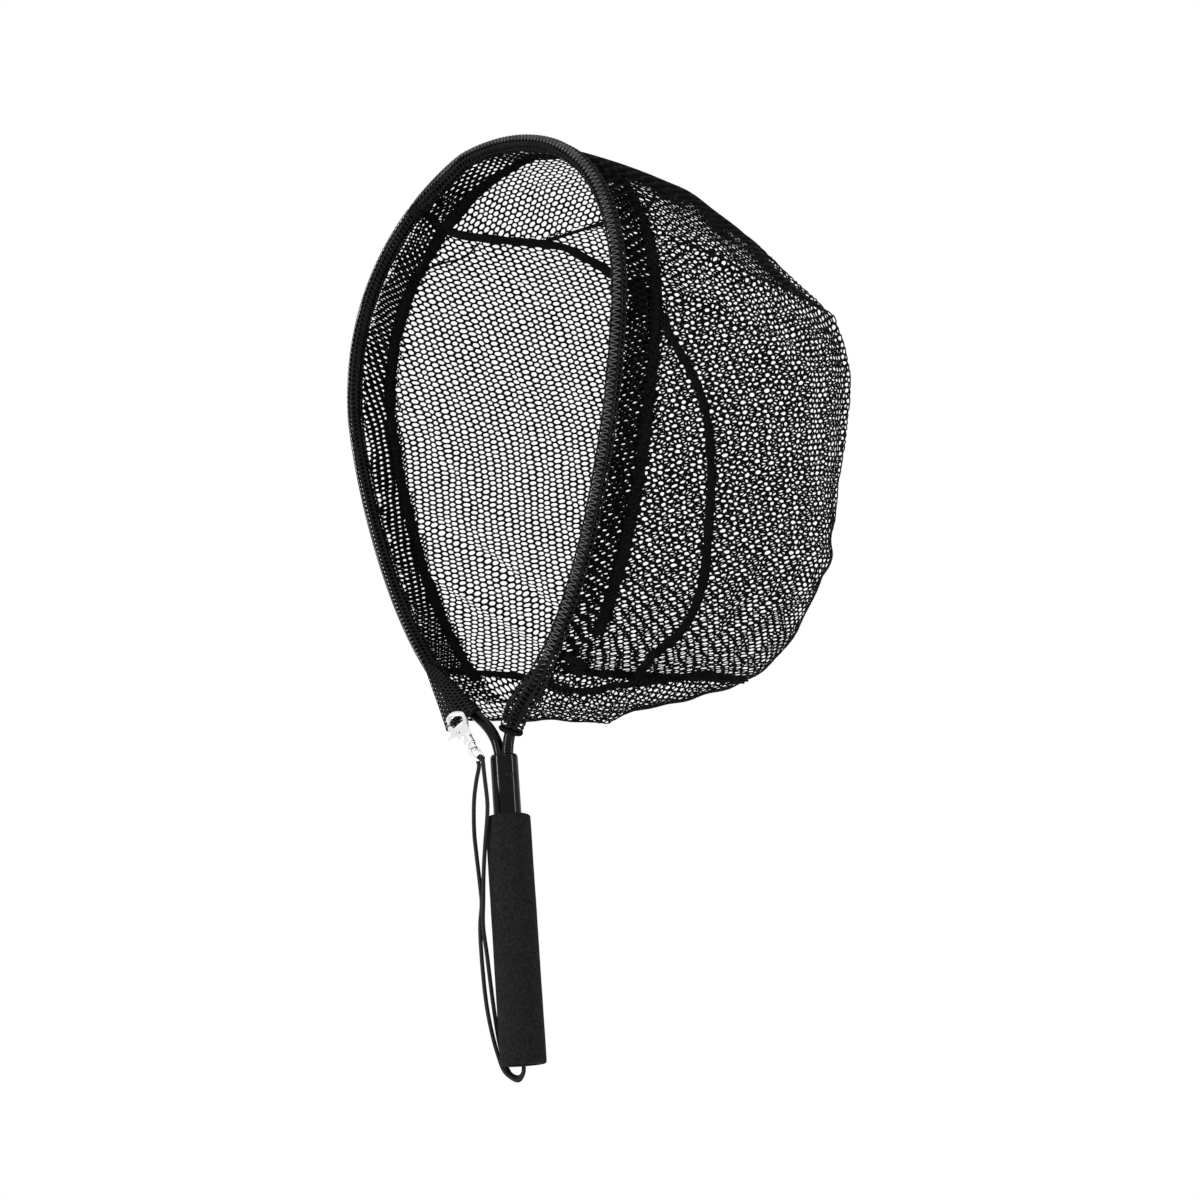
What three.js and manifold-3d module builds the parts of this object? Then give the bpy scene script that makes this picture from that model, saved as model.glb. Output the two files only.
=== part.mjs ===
// Hand-held landing net: a teardrop hoop of bent tube in a short handle, a two-panel mesh bag
// sewn round the hoop, a foam grip, and a doubled elastic lanyard with a swivel snap hook.
// Millimetres. +Z runs up the handle, the hoop lies in the XZ plane, the mouth faces -Y and
// the bag hangs towards +Y. The origin is the middle of the grip on the handle's axis.
import * as THREE from 'three';
import { mergeVertices } from 'three/addons/utils/BufferGeometryUtils.js';
import Module from 'manifold-3d';

const wasm = await Module();
wasm.setup();

// ---- driving dimensions ----
const GAP = 0.3;
const GRIP = { length: 152.4, outer: 14.1, inner: 9.0, round: 1.6 };
const HANDLE = { outer: 8.7, inner: 7.7, bottom: -74, top: 115, shoulder: 2.6 };
const HOOP = { radius: 3.6, legX: 3.75, legEnd: 62, sides: 10 };
const SLEEVE = { inner: 4.3, outer: 5.4, sides: 8 };
// Where the two sleeves meet on the hoop, and the heights at which they end at the throat.
const SLEEVE_JOIN = { x: 56, z: 511, gap: 1 };
const SLEEVE_FOOT = { left: 148, right: 142 };
const PLUG = { radius: 7.35, bottom: 50, top: 112 };
const BUTT = { radius: 7.35, bottom: -74, top: -62, hole: 3.0 };
const RIVET = { radius: 1.5, head: 2.4, height: 101, turn: -0.35 };
const CORD = { radius: 1.25, sides: 8 };
const KNOT = { radius: 4.6, squash: 0.8 };
const PANEL = { thick: 1.5, clear: 6.6, seamGap: 0.6 };
const HEM = { depth: 28, thick: 1.0, thread: 0.45 };
// The loose end of the left sleeve: its upper and lower corners, thickness, and room for the hook.
const SLEEVE_END = {
  top: [[-72, -6.4, 180], [-32, -6.4, 151.5]],
  foot: [[-50, -12.5, 136], [-30, -12.5, 137]],
  thick: 1.6,
  room: { radius: 8.2, height: 9 },
};

// The right half of the hoop's centreline, as Bezier segments of [x, z] points.
const HOOP_SEGMENTS = [
  [[3.75, 112], [3.75, 130], [16.5, 139.6], [32.3, 151.9]],
  [[32.3, 151.9], [111.6, 213.9], [140.8, 361.6], [140.8, 391.7]],
  [[140.8, 391.7], [140.8, 514], [12, 525.2], [0, 525.2]],
];

// The bag at height z is one Bezier arc from the left limb to the right limb.
// Each row is z, then the x and y of the arc's left and right handles.
const BAG_SLICES = [
  [142, -2, 70, 50, 133],
  [147, -6, 90, 85, 165],
  [155, -13, 128, 135, 218],
  [164, -21, 152, 174, 245],
  [187, -38, 181, 215, 276],
  [220, -50, 205, 237, 297],
  [300, -60, 215, 252, 325],
  [385, -60, 215, 254, 328],
  [433, -60, 200, 202, 281],
  [470, -55, 165, 170, 245],
  [488, -50, 135, 145, 220],
  [506, -40, 90, 110, 185],
  [517, -28, 50, 70, 130],
];
const BAG_FLOOR = 139;
const CREST = 517;
// The centre seam's place along the arc (0 at the left limb, 1 at the right), by height.
const SEAM = [
  [165, 0.1], [173, 0.19], [181, 0.26], [199, 0.3], [215, 0.34], [235, 0.36], [275, 0.39],
  [400, 0.4], [456, 0.41], [472, 0.37], [486, 0.35], [494, 0.33], [500, 0.22],
];
const SEAM_FOOT = 168;
const SEAM_HEAD = 497;

// The snap hook: its own frame has +Z from the swivel towards the hook and -Y to its front.
const CLIP = { hook: [-28.7, -13.2, 142.5], eye: [-8.1, -14.7, 115.5], front: [0.548, -0.701, 0.457] };
const HOOK = { radius: 5.7, rod: 1.9, centre: 24.5 };
const BODY = { barrel: 3.5, height: 9, headWide: 4.6, headTop: 16.5, halfThick: 2.9, slot: 1.4 };
const GATE = { pivot: [-3.2, 12.4], halfThick: 1.1, hole: 1.2, pin: 0.9 };
const EYE = { radius: 3.9, rod: 1.05, drop: 9.5, turn: 0.7, collar: 2.9, bore: 1.5 };

// The lanyard's two strands, bottom to top, as hand-set points.
const STRAND_A = [
  [1.2, -0.9, -61], [1.2, -0.9, -75], [0.7, -1.3, -81], [-2.1, -2.6, -84.9], [-8.4, -3.7, -82.6],
  [-15, -3.7, -77.5], [-17, -5.3, -69.5], [-16.2, -9.2, -58.5], [-15.7, -13, -40],
  [-14.9, -15.2, -17.5], [-14.1, -15.8, 9], [-12.4, -14.9, 23.5], [-12.4, -15.3, 34.5],
  [-12.7, -16.5, 54.5], [-12.6, -17.2, 67.5], [-11.4, -16.7, 87.5], [-9, -16, 99], [-6.7, -14.8, 109.1],
];
const STRAND_B = [
  [-1.2, 0.9, -61], [-1.2, 0.9, -75], [-2, 1.1, -80.4], [-5.5, 0.6, -82.8], [-11.6, -0.4, -81],
  [-16.9, -0.2, -74.5], [-17, -3.7, -63], [-14.3, -8.9, -40.5], [-12.3, -13.2, -8.7],
  [-10.1, -16.6, 9.5], [-9.2, -16.1, 23.5], [-7.6, -15.7, 41], [-4.2, -16, 57.5],
  [0.2, -16.3, 75.5], [0.7, -16, 84], [-0.6, -15.7, 97], [-1.7, -15.4, 105.5], [-2.5, -15.2, 112.1],
];

// ---- shared helpers ----
const colours = {
  tube: [0x0b0b0c, 0.18, 0.6],
  foam: [0x171717, 0.95, 0],
  net: [0x0d0d0d, 0.6, 0],
  thread: [0x080808, 0.8, 0],
  chrome: [0xd8dadd, 0.12, 1],
  plastic: [0x101010, 0.5, 0],
  cord: [0x0c0c0c, 0.75, 0],
};

function part(name, geometry, kind) {
  const [color, roughness, metalness] = colours[kind];
  const mesh = new THREE.Mesh(geometry, new THREE.MeshStandardMaterial({ color, roughness, metalness }));
  mesh.name = name;
  return mesh;
}

function solid(geometry) {
  const bare = geometry.clone();
  bare.deleteAttribute('normal');
  bare.deleteAttribute('uv');
  const merged = mergeVertices(bare, 1e-4);
  return new wasm.Manifold(new wasm.Mesh({
    numProp: 3,
    vertProperties: new Float32Array(merged.attributes.position.array),
    triVerts: new Uint32Array(merged.index.array),
  }));
}

function geometryOf(manifold) {
  const mesh = manifold.getMesh();
  const geometry = new THREE.BufferGeometry();
  geometry.setAttribute('position', new THREE.Float32BufferAttribute(mesh.vertProperties, 3));
  geometry.setIndex(Array.from(mesh.triVerts));
  return geometry;
}

function polygon(radius, sides) {
  const points = [];
  for (let i = 0; i < sides; i++) {
    const a = (i / sides) * 2 * Math.PI;
    points.push(new THREE.Vector2(radius * Math.cos(a), radius * Math.sin(a)));
  }
  return points;
}

function tube(curve, radius, sides, steps, bore = 0) {
  const shape = new THREE.Shape(polygon(radius, sides));
  if (bore) shape.holes.push(new THREE.Path(polygon(bore, sides).reverse()));
  return new THREE.ExtrudeGeometry(shape, { steps, extrudePath: curve, bevelEnabled: false });
}

function lathe(profile, sides = 28) {
  const points = profile.map(([r, z]) => new THREE.Vector2(r, z));
  return new THREE.LatheGeometry(points, sides).rotateX(Math.PI / 2);
}

function rod(radius, from, to, sides = 16) {
  const a = new THREE.Vector3(...from);
  const b = new THREE.Vector3(...to);
  const geometry = new THREE.CylinderGeometry(radius, radius, a.distanceTo(b), sides);
  const turn = new THREE.Quaternion().setFromUnitVectors(
    new THREE.Vector3(0, 1, 0), b.clone().sub(a).normalize());
  const middle = a.clone().add(b).multiplyScalar(0.5);
  return geometry.applyQuaternion(turn).translate(middle.x, middle.y, middle.z);
}

function smoothCurve(points) {
  return new THREE.CatmullRomCurve3(points.map((p) => new THREE.Vector3(...p)), false, 'centripetal');
}

// A closed solid made by giving a grid of points a thickness along its normals.
// With foldRow the first row meets itself, as a pouch's floor does, and gets no wall.
function thickSheet(rows, thick, offset = 0, foldRow = false) {
  const n = rows.length;
  const m = rows[0].length;
  const at = (i, j) => rows[Math.min(Math.max(i, 0), n - 1)][Math.min(Math.max(j, 0), m - 1)];
  const position = [];
  for (const side of [offset + thick / 2, offset - thick / 2]) {
    for (let i = 0; i < n; i++) {
      for (let j = 0; j < m; j++) {
        const along = at(i, j + 1).clone().sub(at(i, j - 1));
        const up = at(i + 1, j).clone().sub(at(i - 1, j));
        const normal = up.cross(along).normalize();
        if (foldRow && i === 0) normal.set(0, 0, -1);
        const p = at(i, j).clone().addScaledVector(normal, side);
        position.push(p.x, p.y, p.z);
      }
    }
  }
  const outer = (i, j) => i * m + j;
  const inner = (i, j) => n * m + i * m + j;
  const index = [];
  const quad = (a, b, c, d) => index.push(a, c, b, a, d, c);
  for (let i = 0; i + 1 < n; i++) {
    for (let j = 0; j + 1 < m; j++) {
      quad(outer(i, j), outer(i, j + 1), outer(i + 1, j + 1), outer(i + 1, j));
      quad(inner(i, j), inner(i + 1, j), inner(i + 1, j + 1), inner(i, j + 1));
    }
    quad(outer(i, 0), outer(i + 1, 0), inner(i + 1, 0), inner(i, 0));
    quad(outer(i, m - 1), inner(i, m - 1), inner(i + 1, m - 1), outer(i + 1, m - 1));
  }
  for (let j = 0; j + 1 < m; j++) {
    quad(outer(n - 1, j), outer(n - 1, j + 1), inner(n - 1, j + 1), inner(n - 1, j));
    if (!foldRow) quad(outer(0, j), inner(0, j), inner(0, j + 1), outer(0, j + 1));
  }
  const geometry = new THREE.BufferGeometry();
  geometry.setAttribute('position', new THREE.Float32BufferAttribute(position, 3));
  geometry.setIndex(index);
  return mergeVertices(geometry, 1e-4);
}

// ---- the hoop's line and the bag's surface ----
function bezier(p, t) {
  const s = 1 - t;
  return p[0] * s * s * s + 3 * p[1] * s * s * t + 3 * p[2] * s * t * t + p[3] * t * t * t;
}

function hoopHalf(side, steps = 24) {
  const points = [];
  for (const segment of HOOP_SEGMENTS) {
    for (let i = points.length ? 1 : 0; i <= steps; i++) {
      const t = i / steps;
      const x = bezier(segment.map((p) => p[0]), t);
      points.push(new THREE.Vector3(side * x, 0, bezier(segment.map((p) => p[1]), t)));
    }
  }
  return points;
}
const RIGHT_LIMB = hoopHalf(1);
const FINE_LIMB = hoopHalf(1, 150);

function interpolate(table, key, column) {
  const last = table.length - 1;
  let i = table.findIndex((row) => row[0] >= key);
  if (i === -1) i = last;
  if (i === 0) return table[0][column];
  const t = Math.min((key - table[i - 1][0]) / (table[i][0] - table[i - 1][0]), 1);
  return THREE.MathUtils.lerp(table[i - 1][column], table[i][column], t);
}

const LIMB_TABLE = RIGHT_LIMB.map((p) => [p.z, p.x]);

function bagPoint(s, z) {
  const width = interpolate(LIMB_TABLE, z, 1);
  const [leftX, leftY, rightX, rightY] = [1, 2, 3, 4].map((c) => interpolate(BAG_SLICES, z, c));
  return new THREE.Vector3(bezier([-width, leftX, rightX, width], s), bezier([0, leftY, rightY, 0], s), z);
}

function floorPoint(s) {
  const fold = bagPoint(s, BAG_SLICES[0][0]).add(bagPoint(1 - s, BAG_SLICES[0][0])).multiplyScalar(0.5);
  return fold.setZ(BAG_FLOOR);
}

function crestPoint(s) {
  const width = interpolate(LIMB_TABLE, CREST, 1);
  const x = THREE.MathUtils.lerp(-width, width, s);
  const top = RIGHT_LIMB.filter((p) => p.z >= CREST - 1).map((p) => [-p.x, p.z]);
  return new THREE.Vector3(x, PANEL.clear, interpolate(top, -Math.abs(x), 1));
}

// How far along the arc a panel starts, so that it clears the sleeve on the hoop.
function rimInset(z, clear = PANEL.clear) {
  for (let s = 0; s < 0.3; s += 0.002) {
    const p = bagPoint(s, z);
    const near = FINE_LIMB.every((q) => Math.hypot(p.x + q.x, p.y, p.z - q.z) > clear);
    if (near) return s;
  }
  return 0.3;
}

function spread(from, to, count) {
  return Array.from({ length: count }, (_, i) => THREE.MathUtils.lerp(from, to, i / (count - 1)));
}

function seamAt(z) {
  return interpolate(SEAM, z, 1);
}

// ---- the frame and handle ----
function hoopCurve() {
  const left = hoopHalf(-1);
  const leg = (side) => new THREE.Vector3(side * HOOP.legX, 0, HOOP.legEnd);
  const loop = [...RIGHT_LIMB, ...left.slice(0, -1).reverse()];
  return new THREE.CatmullRomCurve3([leg(1), ...loop, leg(-1)], false, 'centripetal');
}

function rivetCut(extra) {
  const reach = HANDLE.outer + 4;
  const x = Math.cos(RIVET.turn) * reach;
  const y = Math.sin(RIVET.turn) * reach;
  return rod(RIVET.radius + extra, [-x, -y, RIVET.height], [x, y, RIVET.height]);
}

function hoopTube() {
  const whole = solid(tube(hoopCurve(), HOOP.radius, HOOP.sides, 110));
  return part('hoop_tube', geometryOf(whole.subtract(solid(rivetCut(GAP)))), 'tube');
}

function handleTube() {
  const { outer, inner, bottom, top, shoulder } = HANDLE;
  const profile = [[inner, bottom], [outer, bottom], [outer, top - shoulder]];
  for (const a of spread(0, Math.PI / 2, 5)) {
    const reach = outer - inner;
    profile.push([inner + reach * Math.cos(a), top - shoulder + shoulder * Math.sin(a)]);
  }
  profile.push([inner, bottom]);
  const shell = solid(lathe(profile)).subtract(solid(rivetCut(GAP)));
  return part('handle_tube', geometryOf(shell), 'tube');
}

function neckPlug() {
  const { radius, bottom, top } = PLUG;
  let core = solid(lathe([[0, bottom], [radius, bottom], [radius, top], [0, top]]));
  for (const x of [-HOOP.legX, HOOP.legX]) {
    core = core.subtract(solid(rod(HOOP.radius + GAP, [x, 0, HOOP.legEnd - GAP], [x, 0, top + 5])));
  }
  return part('neck_plug', geometryOf(core.subtract(solid(rivetCut(GAP)))), 'plastic');
}

function frameRivet() {
  const shank = HANDLE.outer + 0.1;
  const at = (r) => [Math.cos(RIVET.turn) * r, Math.sin(RIVET.turn) * r, RIVET.height];
  let whole = solid(rod(RIVET.radius, at(-shank - 1), at(shank + 1)));
  for (const side of [-1, 1]) {
    whole = whole.add(solid(rod(RIVET.head, at(side * (shank + GAP)), at(side * (shank + 1)))));
  }
  return part('frame_rivet', geometryOf(whole), 'tube');
}

function foamGrip() {
  const { length, outer, inner, round } = GRIP;
  const half = length / 2;
  const profile = [[inner, -half]];
  for (const end of [-1, 1]) {
    for (const a of spread(0, Math.PI / 2, 4)) {
      const turn = end < 0 ? Math.PI / 2 - a : a;
      const across = outer - round + round * Math.cos(turn);
      profile.push([across, end * (half - round + round * Math.sin(turn))]);
    }
  }
  profile.push([inner, half], [inner, -half]);
  return part('foam_grip', lathe(profile, 24), 'foam');
}

function buttPlug() {
  const { radius, bottom, top, hole } = BUTT;
  const profile = [[hole, bottom], [radius, bottom], [radius, top], [hole, top], [hole, bottom]];
  return part('butt_plug', lathe(profile), 'plastic');
}

function cordKnot() {
  const { radius, squash } = KNOT;
  const knot = new THREE.SphereGeometry(radius, 14, 10).scale(1, 1, squash);
  return part('cord_knot', knot.translate(0, 0, STRAND_A[0][2] + GAP + radius * squash), 'cord');
}

// ---- the bag ----
function leftPanel() {
  const rows = spread(SEAM_FOOT, SEAM_HEAD, 18).map((z) => {
    const last = seamAt(z) - PANEL.seamGap / 100;
    return spread(rimInset(z), last, 13).map((s) => bagPoint(s, z));
  });
  return part('left_panel', thickSheet(rows, PANEL.thick), 'net');
}

function rightPanel() {
  const columns = 25;
  const levels = [
    ...spread(BAG_SLICES[0][0], SEAM_FOOT - 2, 5), ...spread(SEAM_FOOT, SEAM_HEAD, 16),
    ...spread(SEAM_HEAD + 2, CREST, 4),
  ];
  const rows = levels.map((z) => {
    const inset = rimInset(z);
    const beside = z >= SEAM_FOOT && z <= SEAM_HEAD;
    const first = beside ? seamAt(z) + PANEL.seamGap / 100 : inset;
    return spread(first, 1 - inset, columns).map((s) => bagPoint(s, z));
  });
  const inset = rimInset(BAG_SLICES[0][0]);
  rows.unshift(spread(inset, 1 - inset, columns).map(floorPoint));
  rows.push(spread(0, 1, columns).map(crestPoint));
  return part('right_panel', thickSheet(rows, PANEL.thick, 0, true), 'net');
}

function centreSeam() {
  const rows = spread(SEAM_FOOT, SEAM_HEAD, 26).map((z) => {
    const s = seamAt(z);
    return [s - 0.008, s + 0.008].map((v) => bagPoint(v, z));
  });
  return part('centre_seam', thickSheet(rows, 1.0, PANEL.thick / 2 + 4 * GAP + 0.5), 'thread');
}

// The folded-in layer of the hem on one side: the cloth that turns back inside the bag.
function arcStep(z) {
  return HEM.depth / (bagPoint(0.02, z).distanceTo(bagPoint(0, z)) / 0.02);
}

function hemRows(side, from, to, first, last, count) {
  return spread(from, to, count).map((z) => {
    const start = rimInset(z, PANEL.clear + 2);
    const values = spread(start + first * arcStep(z), start + last * arcStep(z), 4);
    const ordered = side < 0 ? values : values.map((s) => 1 - s).reverse();
    return ordered.map((s) => bagPoint(s, z));
  });
}

function hemLayer(name, side, from, to) {
  const offset = -(PANEL.thick / 2 + 4 * GAP + HEM.thick / 2);
  return part(name, thickSheet(hemRows(side, from, to, 0, 0.7, 16), HEM.thick, offset), 'net');
}

function hemStitching(name, side, from, to) {
  const rows = hemRows(side, from, to, 0.55, 0.75, 22);
  const lift = PANEL.thick / 2 + HEM.thick + 7 * GAP + 0.5;
  const points = rows.map((row, i) => {
    const up = rows[Math.min(i + 1, rows.length - 1)][1].clone().sub(rows[Math.max(i - 1, 0)][1]);
    const along = row[2].clone().sub(row[0]);
    return row[1].clone().addScaledVector(up.cross(along).normalize(), -lift);
  });
  return part(name, tube(new THREE.CatmullRomCurve3(points), HEM.thread, 6, 40), 'thread');
}

function sleeveCurve(points) {
  return new THREE.CatmullRomCurve3(points, false, 'centripetal');
}

function leftSleeve() {
  const end = -SLEEVE_JOIN.x - SLEEVE_JOIN.gap;
  const middle = SLEEVE_JOIN.z / 2;
  const points = hoopHalf(-1).filter((p) => p.z > SLEEVE_FOOT.left && (p.z < middle || p.x < end));
  const { outer, sides, inner } = SLEEVE;
  return part('left_hem_sleeve', tube(sleeveCurve(points), outer, sides, 30, inner), 'net');
}

function rightSleeve() {
  const start = -SLEEVE_JOIN.x + SLEEVE_JOIN.gap;
  const middle = SLEEVE_JOIN.z / 2;
  const over = hoopHalf(-1).filter((p) => p.z > middle && p.x > start);
  const down = RIGHT_LIMB.filter((p) => p.z > SLEEVE_FOOT.right).slice(0, -1).reverse();
  const curve = sleeveCurve([...over, ...down]);
  const { outer, sides, inner } = SLEEVE;
  return part('right_hem_sleeve', tube(curve, outer, sides, 42, inner), 'net');
}

// The loose end of the left sleeve, drawn forward by the snap hook that passes through it.
function sleeveEnd(clipMatrix) {
  const [top, foot] = [SLEEVE_END.top, SLEEVE_END.foot].map(
    (corners) => corners.map((p) => new THREE.Vector3(...p)));
  const rows = spread(0, 1, 5).map((t) => {
    const left = foot[0].clone().lerp(top[0], t);
    const right = foot[1].clone().lerp(top[1], t);
    return spread(0, 1, 6).map((u) => left.clone().lerp(right, u));
  });
  const { radius, height } = SLEEVE_END.room;
  const room = new THREE.CylinderGeometry(radius, radius, height, 20);
  room.translate(0, 0, HOOK.centre).applyMatrix4(clipMatrix);
  const cut = solid(thickSheet(rows, SLEEVE_END.thick)).subtract(solid(room));
  return part('left_sleeve_end', geometryOf(cut), 'net');
}

// ---- the snap hook ----
function clipFrame() {
  const up = new THREE.Vector3(...CLIP.hook).sub(new THREE.Vector3(...CLIP.eye)).normalize();
  const back = new THREE.Vector3(...CLIP.front).multiplyScalar(-1);
  back.addScaledVector(up, -back.dot(up)).normalize();
  const right = back.clone().cross(up);
  const origin = new THREE.Vector3(...CLIP.hook).addScaledVector(up, -HOOK.centre);
  return new THREE.Matrix4().makeBasis(right, back, up).setPosition(origin);
}

function hookBody() {
  const bend = [];
  for (const a of spread(-0.5, 3.0, 16)) {
    bend.push([HOOK.radius * Math.cos(a), 0, HOOK.centre + HOOK.radius * Math.sin(a)]);
  }
  const curve = smoothCurve([[0.8, 0, 10], [2.6, 0, 15], ...bend]);
  let whole = solid(tube(curve, HOOK.rod, 10, 30));
  const { barrel: wide, height, headWide, headTop, halfThick } = BODY;
  const barrel = lathe([[0, 0], [wide - 0.8, 0], [wide, 0.8], [wide, height], [0, height]], 20);
  const head = new THREE.BoxGeometry(2 * headWide, 2 * halfThick, headTop - height + 2);
  head.translate(-0.6, 0, (headTop + height - 2) / 2);
  whole = whole.add(solid(barrel)).add(solid(head));
  const slot = new THREE.BoxGeometry(9, 2 * BODY.slot, 30).translate(-5.4, 0, 24.2);
  whole = whole.subtract(solid(slot));
  const [px, pz] = GATE.pivot;
  whole = whole.subtract(solid(rod(GATE.hole, [px, -5, pz], [px, 5, pz])));
  whole = whole.subtract(solid(rod(EYE.bore, [0, 0, -1], [0, 0, 6])));
  return part('hook_body', geometryOf(whole), 'chrome');
}

function gate() {
  const [px, pz] = GATE.pivot;
  const shape = new THREE.Shape([
    [px + 1.5, pz - 1.3], [px + 1.6, pz + 1.1], [px - 0.6, pz + 4.6], [px - 2.2, pz + 9.6],
    [px - 4.4, pz + 9.4], [px - 3.6, pz + 4.6], [px - 5.2, pz + 1.6], [px - 7.6, pz + 0.6],
    [px - 7.2, pz - 0.9], [px - 3.2, pz - 1.2], [px - 1.2, pz - 2.2],
  ].map(([x, z]) => new THREE.Vector2(x, z)));
  const bar = new THREE.ExtrudeGeometry(shape, { depth: 2 * GATE.halfThick, bevelEnabled: false });
  bar.rotateX(Math.PI / 2).translate(0, GATE.halfThick, 0);
  const cut = solid(bar).subtract(solid(rod(GATE.hole, [px, -5, pz], [px, 5, pz])));
  return part('gate_lever', geometryOf(cut), 'chrome');
}

function gatePin() {
  const [px, pz] = GATE.pivot;
  const half = BODY.halfThick + 0.2;
  return part('gate_pin', rod(GATE.pin, [px, -half, pz], [px, half, pz], 12), 'chrome');
}

function swivelRivet() {
  const profile = [[0, -5.6], [2.2, -5.6], [2.2, -4.6], [1.2, -4.6], [1.2, 5.5], [0, 5.5]];
  return part('swivel_rivet', lathe(profile, 16), 'chrome');
}

function swivelEye() {
  const { radius, rod: thick, drop, collar, bore } = EYE;
  const ring = [];
  for (const a of spread(-0.97 * Math.PI, -0.03 * Math.PI, 12)) {
    ring.push([radius * Math.cos(a), 0, -drop - 1 + radius * Math.sin(a)]);
  }
  const top = -2.6;
  const curve = smoothCurve([[-2.1, 0, top], [-3.6, 0, -5.2], ...ring, [3.6, 0, -5.2], [2.1, 0, top]]);
  let whole = solid(tube(curve, thick, 8, 30));
  const ringProfile = [[bore, -4.2], [collar, -4.2], [collar, -0.4], [bore, -0.4], [bore, -4.2]];
  whole = whole.add(solid(lathe(ringProfile, 20)));
  whole = whole.subtract(solid(rod(bore, [0, 0, -4.3], [0, 0, 1])));
  return part('swivel_eye', geometryOf(whole), 'chrome');
}

function lanyardBight() {
  const bar = -EYE.drop - 1 - EYE.radius;
  const reach = EYE.rod + CORD.radius + GAP;
  const arc = spread(0, Math.PI, 7).map((a) => [0, reach * Math.cos(a), bar + reach * Math.sin(a)]);
  return part('lanyard_bight', tube(smoothCurve(arc), CORD.radius, CORD.sides, 12), 'cord');
}

function strand(name, points) {
  return part(name, tube(smoothCurve(points), CORD.radius, CORD.sides, 38), 'cord');
}

// ---- assembly ----
const net = new THREE.Group();
net.add(hoopTube(), handleTube(), neckPlug(), frameRivet(), foamGrip(), buttPlug(), cordKnot());
net.add(leftPanel(), rightPanel(), centreSeam());
net.add(hemLayer('left_hem', -1, 175, 490), hemLayer('right_hem', 1, 175, 505));
net.add(hemStitching('left_hem_stitching', -1, 178, 486), hemStitching('right_hem_stitching', 1, 178, 500));
net.add(leftSleeve(), rightSleeve());

const clipMatrix = clipFrame();
net.add(sleeveEnd(clipMatrix));
const clip = new THREE.Group();
clip.applyMatrix4(clipMatrix);
clip.add(hookBody(), gate(), gatePin(), swivelRivet());
const turning = new THREE.Group();
turning.rotation.z = EYE.turn;
turning.add(swivelEye(), lanyardBight());
clip.add(turning);
net.add(clip);
net.add(strand('lanyard_strand_a', STRAND_A), strand('lanyard_strand_b', STRAND_B));

export default net;
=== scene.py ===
"""Looks of a hand-held landing net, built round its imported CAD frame.

Lengths are in metres in the CAD's own frame: +Z up the handle, the hoop in the XZ plane, the
mouth facing -Y, the mesh bag hanging towards +Y, and the origin in the middle of the foam grip.
"""
import math

import bpy
import numpy as np
from mathutils import Matrix, Vector


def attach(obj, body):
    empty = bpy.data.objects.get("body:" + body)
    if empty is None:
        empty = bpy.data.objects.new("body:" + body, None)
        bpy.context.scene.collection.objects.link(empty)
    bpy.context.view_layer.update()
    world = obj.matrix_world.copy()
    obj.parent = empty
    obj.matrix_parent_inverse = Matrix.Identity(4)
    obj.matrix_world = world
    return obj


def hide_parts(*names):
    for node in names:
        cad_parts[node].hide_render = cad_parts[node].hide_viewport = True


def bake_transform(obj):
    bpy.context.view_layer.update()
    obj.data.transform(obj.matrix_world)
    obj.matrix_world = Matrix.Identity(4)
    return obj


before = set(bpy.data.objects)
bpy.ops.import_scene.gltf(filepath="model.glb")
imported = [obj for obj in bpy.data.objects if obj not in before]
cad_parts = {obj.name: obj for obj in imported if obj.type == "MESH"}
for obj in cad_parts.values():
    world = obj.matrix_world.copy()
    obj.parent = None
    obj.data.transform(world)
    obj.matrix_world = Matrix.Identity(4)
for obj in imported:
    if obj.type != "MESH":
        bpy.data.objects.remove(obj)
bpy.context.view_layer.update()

MM = 0.001

# ---- the hoop and the bag's surface, as in the CAD (millimetres) ----
HOOP_RADIUS = 3.6
HOOP_LEG = (3.75, 62.0)
HOOP_SEGMENTS = [
    [(3.75, 112), (3.75, 130), (16.5, 139.6), (32.3, 151.9)],
    [(32.3, 151.9), (111.6, 213.9), (140.8, 361.6), (140.8, 391.7)],
    [(140.8, 391.7), (140.8, 514), (12, 525.2), (0, 525.2)],
]
# Height, then the x and y of the left and right handles of the bag's arc at that height.
BAG_SLICES = np.array([
    (142, -2, 70, 50, 133),
    (147, -6, 90, 85, 165),
    (155, -13, 128, 135, 218),
    (164, -21, 152, 174, 245),
    (187, -38, 181, 215, 276),
    (220, -50, 205, 237, 297),
    (300, -60, 215, 252, 325),
    (385, -60, 215, 254, 328),
    (433, -60, 200, 202, 281),
    (470, -55, 165, 170, 245),
    (488, -50, 135, 145, 220),
    (506, -40, 90, 110, 185),
    (517, -28, 50, 70, 130),
], float)
BAG_FLOOR = 139.0
CREST = 517.0
HOOP_TOP = 525.2
RIM_CLEAR = 6.6           # how far behind the hoop the cloth passes over its crest
# Lines on the bag as (place along the arc, height). The place is 0 at the left limb and 1 at the right.
CENTRE_SEAM = np.array([
    (0.27, 174), (0.285, 186), (0.30, 197), (0.335, 212), (0.355, 232), (0.375, 274), (0.385, 314),
    (0.385, 356), (0.392, 400), (0.40, 436), (0.403, 456), (0.375, 472), (0.355, 486), (0.325, 494),
    (0.27, 500), (0.165, 500.5), (0.085, 508), (0.012, 513),
], float)
BOTTOM_SEAM = np.array([
    (0.012, 186), (0.05, 185), (0.10, 184), (0.14, 180), (0.17, 172), (0.215, 168), (0.26, 173),
    (0.375, 175), (0.45, 170), (0.6, 162), (0.76, 158), (0.825, 157), (0.92, 157), (0.965, 162),
    (0.988, 167),
], float)
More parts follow.
